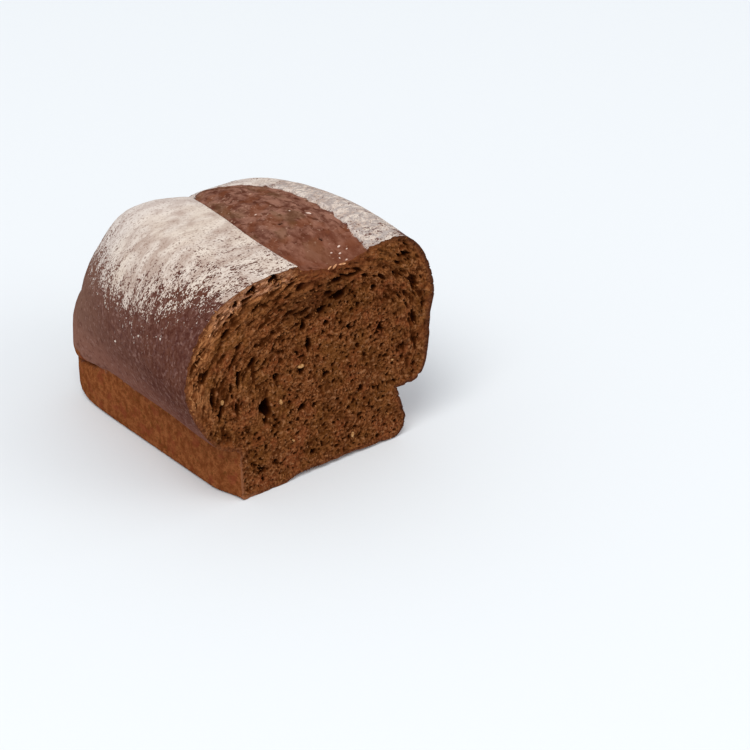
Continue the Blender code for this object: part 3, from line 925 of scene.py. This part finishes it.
def crumb_material():
    """Dark grain crumb: paler cell walls, holes darkened near-black by their depth as painted shade, and a
    golden torn edge on the left.
    """
    material, board, shader = finish_board("crumb", 0.02)
    place = shader_place(board)
    across = board.parts(place)
    up = across.also("Z")
    from_middle = across - TO_MIDDLE.x / MM
    edge = shader_fact(board, "edge")
    streak = shader_fact(board, "streak")
    hollow = shader_fact(board, "hollow")
    gold = shader_fact(board, "gold")
    fine = board.noise(place, 1.1, 3.0, 0.6)
    middling = board.noise(place, 3.0, 3.0, 0.6)
    flow = board.vector(shader_fact(board, "inward"), shader_fact(board, "around") / 3.4, 0.0)
    drawn = board.noise(flow, 1.2, 3.0, 0.65)

    wall = board.tinted(
        board.tint(board.smooth(0.4, 0.62, fine), colour(79, 42, 20), colour(127, 79, 48)),
        (board.patches(place, 14.0, 0.42, 0.62) * 0.35, colour(102, 66, 30)),
        (board.patches(place, 8.0, 0.52, 0.64, 3.0) * 0.35, colour(122, 64, 40)),
        (board.patches(place, 5.0, 0.56, 0.66, 3.0) * 0.5, colour(66, 36, 18)),
        (board.patches(place, 1.8, 0.57, 0.66) * 0.6, colour(150, 104, 72)),
    )
    pale = board.tint(board.smooth(0.4, 0.66, drawn), colour(102, 58, 32), colour(168, 112, 72))
    palest = board.tint(board.smooth(0.4, 0.62, drawn), colour(120, 75, 52), colour(200, 148, 116))
    is_palest = board.smooth(1.0, 1.6, gold)
    under_crust = board.tint(board.smooth(0.4, 0.62, fine), colour(80, 45, 28), colour(108, 65, 42))
    rind = board.smooth(2.4, 0.9, edge + (middling - 0.5) * 3.0) * board.smooth(2.4, 1.2, hollow)
    score_half = SCORE_HALF_WIDTH / MM
    off_score = board.math("ABSOLUTE", from_middle - SCORE_START / MM, 0.0)
    under_score = board.smooth(90.0, 95.0, up + (middling - 0.5) * 6.0)
    under_score = under_score * board.smooth(score_half, score_half - 5.0, off_score)
    core_x, core_z, core_half_x, core_half_z = DARK_CORE
    core_across = (from_middle - core_x) / core_half_x
    core_up = (up - core_z) / core_half_z
    core = board.smooth(1.0, 0.1, core_across * core_across + core_up * core_up)
    over_core = board.smooth(85.0, 91.0, up) * board.smooth(0.42, 0.6, middling)
    tin_rim = board.smooth(1.7, 0.7, edge) * board.smooth(24.0, 20.0, up)
    skin = board.tinted(
        wall,
        (gold, pale),
        (is_palest * 0.8, palest),
        (board.smooth(0.52, 0.66, drawn) * streak * 0.5, colour(150, 98, 60)),
        (board.smooth(0.44, 0.34, drawn) * streak * 0.5, colour(70, 36, 16)),
        # Painted shade: the crumb darkens to near-black where its relief sinks deeper, in pores, channels
        # and pockets.
        (board.smooth(0.3, 1.3, hollow), colour(66, 34, 14)),
        (board.smooth(1.1, 2.8, hollow), colour(36, 16, 4)),
        (rind * (0.85 - is_palest * 0.55), under_crust),
        (under_score * 0.55, colour(98, 50, 31)),
        (core * 0.48, colour(50, 26, 12)),
        (over_core * board.smooth(2.0, 0.8, hollow) * 0.35, colour(122, 76, 44)),
        (board.smooth(1.5, 0.4, edge) * board.smooth(38.0, 50.0, across) * 0.75, colour(66, 40, 30)),
        (tin_rim * board.smooth(-30.0, -36.0, across) * 0.6, colour(148, 98, 70)),
    )
    feed(board, shader, "Base Color", skin)
    feed(board, shader, "Roughness", 0.85 - board.smooth(0.3, 2.0, hollow) * 0.2)
    bump(board, shader, fine, 0.3 * MM, 0.6)
    return material


def plain_material(name, dull, bright, grain_size):
    """One mottled colour for small loose pieces."""
    material, board, shader = finish_board(name)
    mottle = board.noise(shader_place(board), grain_size, 3.0, 0.6)
    feed(board, shader, "Base Color", board.tint(board.smooth(0.36, 0.64, mottle), dull, bright))
    shader.inputs["Roughness"].default_value = 0.85
    return material


# Small things strewn over the loaf.
def strewn_tree():
    """Rough lumps set at random on a ground, more of them where a named attribute is high."""
    tree = bpy.data.node_groups.new("strewn", "GeometryNodeTree")
    tree.interface.new_socket("Ground", in_out="INPUT", socket_type="NodeSocketGeometry")
    tree.interface.new_socket("Where", in_out="INPUT", socket_type="NodeSocketString")
    for name in ("From", "To", "Per square metre", "Least", "Most", "Long", "Thin", "Sunk"):
        tree.interface.new_socket(name, in_out="INPUT", socket_type="NodeSocketFloat")
    tree.interface.new_socket("Draw", in_out="INPUT", socket_type="NodeSocketInt")
    tree.interface.new_socket("Finish", in_out="INPUT", socket_type="NodeSocketMaterial")
    tree.interface.new_socket("Lumps", in_out="OUTPUT", socket_type="NodeSocketGeometry")
    board = Board(tree)
    given = board.node("NodeGroupInput")
    where = board.node(
        "GeometryNodeInputNamedAttribute", {"data_type": "FLOAT"}, {"Name": given.also("Where")}
    )
    thick = board.smooth(given.also("From"), given.also("To"), where)
    spots = board.node(
        "GeometryNodeDistributePointsOnFaces", None,
        {"Mesh": given, "Density": thick * given.also("Per square metre"), "Seed": given.also("Draw")},
    )
    ball = board.node("GeometryNodeMeshIcoSphere", None, {"Radius": 1.0, "Subdivisions": 1})
    dents = board.loose(board.node("GeometryNodeInputPosition"), 0.9, 1.4)
    lump = board.node("GeometryNodeSetPosition", None, {"Geometry": ball, "Offset": dents})
    spun = board.node(
        "FunctionNodeRandomValue", {"data_type": "FLOAT_VECTOR"},
        {"Min": (-0.35, -0.35, 0.0), "Max": (0.35, 0.35, 6.28), "Seed": given.also("Draw")},
    )
    turn = board.node(
        "FunctionNodeRotateRotation", {"rotation_space": "LOCAL"},
        {0: spots.also("Rotation"), 1: spun},
    )
    size = board.node(
        "FunctionNodeRandomValue", {"data_type": "FLOAT"},
        {2: given.also("Least"), 3: given.also("Most"), "Seed": given.also("Draw")}, out=1,
    )
    shape = board.vector(size * given.also("Long"), size, size * given.also("Thin"))
    depth = size * given.also("Thin") * given.also("Sunk")
    set_down = board.scaled(spots.also("Normal"), depth * -1)
    spots = board.node("GeometryNodeSetPosition", None, {"Geometry": spots, "Offset": set_down})
    lumps = board.node(
        "GeometryNodeInstanceOnPoints", None,
        {"Points": spots, "Instance": lump, "Rotation": turn, "Scale": shape},
    )
    lumps = board.node("GeometryNodeRealizeInstances", None, {"Geometry": lumps})
    lumps = board.node(
        "GeometryNodeSetMaterial", None, {"Geometry": lumps, "Material": given.also("Finish")}
    )
    board.node("NodeGroupOutput", None, {0: lumps})
    return tree


def seeds(ground, places):
    """Grains or shreds lying in a ground, each as place, half length, turn and slimness, as one mesh."""
    tree = BVHTree.FromPolygons([v.co for v in ground.vertices], [p.vertices for p in ground.polygons])
    made = bmesh.new()
    for place, half, turn, slim in places:
        spot, normal, _, _ = tree.find_nearest(Vector(place) * MM + TO_MIDDLE)
        lie = normal.to_track_quat("Z", "Y").to_matrix().to_4x4()
        lie = Matrix.Translation(spot) @ lie @ Matrix.Rotation(math.radians(turn), 4, "Z")
        shape = Matrix.Diagonal((half * MM, half * slim * MM, half * slim * 0.9 * MM, 1.0))
        bmesh.ops.create_icosphere(made, subdivisions=3, radius=1.0, matrix=lie @ shape)
    data = bpy.data.meshes.new("seeds")
    made.to_mesh(data)
    made.free()
    return data


def piece(data, name, material, replaced=False):
    """A finished piece of the loaf."""
    data.materials.clear()
    data.materials.append(material)
    made = bpy.data.objects.new(name, data)
    bpy.context.scene.collection.objects.link(made)
    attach(made, "root")
    if replaced:
        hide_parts("loaf")
    return made


# Floor, light and camera.
CAMERA_PLACE = Vector((-586.943, -751.964, 571.978)) * MM + TO_MIDDLE
CAMERA_TURN = math.radians(-39.274)
CAMERA_TILT = math.radians(28.863)
FOCAL_MM = 120.0
SENSOR_MM = 36.0
FLOOR_REACH = 6.0
FLOOR_HEIGHT = -0.2 * MM
LIGHT_AIM = Vector((0.0, 0.0, 0.05))
LIGHT_TONE = (1.0, 0.985, 0.96)


def add_camera():
    back = Vector((
        math.sin(CAMERA_TURN) * math.cos(CAMERA_TILT),
        -math.cos(CAMERA_TURN) * math.cos(CAMERA_TILT),
        math.sin(CAMERA_TILT),
    ))
    right = Vector((math.cos(CAMERA_TURN), math.sin(CAMERA_TURN), 0.0))
    up = back.cross(right)
    data = bpy.data.cameras.new("view")
    data.lens = FOCAL_MM
    data.sensor_width = SENSOR_MM
    data.clip_start = 0.05
    data.clip_end = 50.0
    camera = bpy.data.objects.new("view", data)
    turn = Matrix((right, up, back)).transposed().to_4x4()
    camera.matrix_world = Matrix.Translation(CAMERA_PLACE) @ turn
    bpy.context.scene.collection.objects.link(camera)
    bpy.context.scene.camera = camera


def add_light(name, place, size, watts):
    """A soft square lamp turned to the loaf."""
    data = bpy.data.lights.new(name, "AREA")
    data.size = size
    data.energy = watts
    data.color = LIGHT_TONE
    light = bpy.data.objects.new(name, data)
    light.location = place
    light.rotation_euler = (LIGHT_AIM - Vector(place)).to_track_quat("-Z", "Y").to_euler()
    bpy.context.scene.collection.objects.link(light)


def add_stage():
    """A pale floor, an even sky and two soft lamps."""
    corners = [(-FLOOR_REACH, -FLOOR_REACH), (FLOOR_REACH, -FLOOR_REACH)]
    corners += [(FLOOR_REACH, FLOOR_REACH), (-FLOOR_REACH, FLOOR_REACH)]
    data = bpy.data.meshes.new("floor")
    data.from_pydata([(x, y, FLOOR_HEIGHT) for x, y in corners], [], [(0, 1, 2, 3)])
    floor = bpy.data.objects.new("floor", data)
    material, _, shader = finish_board("pale_floor")
    shader.inputs["Base Color"].default_value = (0.785, 0.81, 0.83, 1.0)
    shader.inputs["Roughness"].default_value = 0.9
    data.materials.append(material)
    bpy.context.scene.collection.objects.link(floor)
    bpy.context.scene.view_settings.view_transform = "Standard"
    world = bpy.data.worlds.new("studio")
    world.use_nodes = True
    background = world.node_tree.nodes["Background"]
    background.inputs["Color"].default_value = (0.93, 0.96, 1.0, 1.0)
    background.inputs["Strength"].default_value = 0.75
    bpy.context.scene.world = world
    add_light("soft_key", (-2.6, -1.8, 4.8), 3.0, 176.0)
    add_light("soft_fill", (2.4, -3.8, 2.4), 3.2, 48.0)


# The loaf.
bread = with_tree(loaf_skin(), relief_tree(), RELIEF)
crust_data = only(bread, 0, "crust")
crumb_data = only(bread, 1, "crumb")

flour_finish = plain_material("sifted_flour", colour(186, 170, 158), colour(212, 198, 188), 3.0)
golden_finish = plain_material("torn_gold", colour(104, 60, 34), colour(170, 116, 74), 1.2)
crumb_finish = plain_material("loose_crumb", colour(92, 52, 26), colour(146, 96, 58), 1.0)
grain_finish = plain_material("whole_grain", colour(134, 90, 50), colour(188, 144, 98), 1.0)
STREWN = (
    ("flour_lumps", crust_data, flour_finish, {
        "Where": "flour", "From": -1.0, "To": 0.6, "Per square metre": 90000.0,
        "Least": 0.1 * MM, "Most": 0.26 * MM, "Long": 1.3, "Thin": 0.7, "Sunk": 0.2, "Draw": 3,
    }),
    ("torn_flakes", crumb_data, golden_finish, {
        "Where": "gold", "From": 0.1, "To": 0.9, "Per square metre": 70000.0,
        "Least": 0.25 * MM, "Most": 0.55 * MM, "Long": 3.0, "Thin": 0.5, "Sunk": 0.1, "Draw": 7,
    }),
    ("loose_crumbs", crumb_data, crumb_finish, {
        "Where": "crumb", "From": 0.0, "To": 1.0, "Per square metre": 35000.0,
        "Least": 0.2 * MM, "Most": 0.5 * MM, "Long": 1.5, "Thin": 0.8, "Sunk": 0.2, "Draw": 9,
    }),
)
for name, ground, finish, values in STREWN:
    piece(with_tree(ground, strewn_tree(), {**values, "Finish": finish}), name, finish)

# Grains, shreds and specks of flour that lie apart: place, half length, turn in degrees and slimness.
LYING_IN_SLICE = [((across, 0.0, up), half, 35.0 * i, 0.55) for i, (across, up, half) in enumerate(GRAINS)]
LYING_ON_SCORE = (
    ((20.4, 36.9, 104.6), 1.3, 20, 0.45),
    ((15.5, 44.2, 104.6), 0.8, 70, 0.5),
    ((3.7, 53.4, 102.9), 0.6, 130, 0.55),
    ((13.6, 5.5, 102.4), 0.7, 10, 0.6),
    ((15.7, 10.2, 102.9), 0.8, 60, 0.6),
    ((12.8, 1.8, 102.2), 0.7, 100, 0.6),
    ((11.0, 8.0, 102.0), 0.6, 150, 0.6),
    ((17.5, 6.5, 102.0), 0.5, 40, 0.7),
    ((12.2, 3.6, 102.0), 0.5, 80, 0.7),
)
SHREDS = (
    ((5.8, 0.0, 98.2), 2.4, 4, 0.2),
    ((9.8, 0.0, 98.5), 2.0, -8, 0.24),
    ((3.0, 0.0, 97.4), 1.2, 30, 0.3),
    ((-50.8, 0.0, 95.0), 1.2, 150, 0.4),
    ((-45.4, 0.0, 95.4), 1.0, 40, 0.5),
    ((-53.6, 0.0, 91.4), 1.6, 60, 0.35),
    ((-57.6, 0.0, 88.6), 1.5, 120, 0.35),
    ((-60.4, 0.0, 86.4), 1.1, 70, 0.4),
    ((-49.0, 0.0, 93.6), 1.0, 100, 0.4),
)
SPECKS = (
    ((-62.8, 68.3, 56.1), 0.65, 0, 0.8),
    ((-66.2, 44.6, 69.5), 0.8, 40, 0.6),
    ((-64.0, 58.0, 72.0), 0.35, 10, 0.8),
    ((-66.0, 30.0, 75.0), 0.3, 70, 0.8),
)
pale_finish = plain_material("pale_grain", colour(178, 148, 132), colour(226, 200, 186), 1.0)
shred_finish = plain_material("torn_shred", colour(150, 98, 66), colour(214, 158, 116), 0.8)
piece(seeds(crumb_data, LYING_IN_SLICE), "grains_in_slice", grain_finish)
piece(seeds(crust_data, LYING_ON_SCORE), "grains_on_score", pale_finish)
piece(seeds(crumb_data, SHREDS), "torn_shreds", shred_finish)
piece(seeds(crust_data, SPECKS), "flour_specks", flour_finish)
piece(crust_data, "crust", crust_material(), replaced=True)
piece(crumb_data, "crumb", crumb_material(), replaced=True)

add_stage()
add_camera()
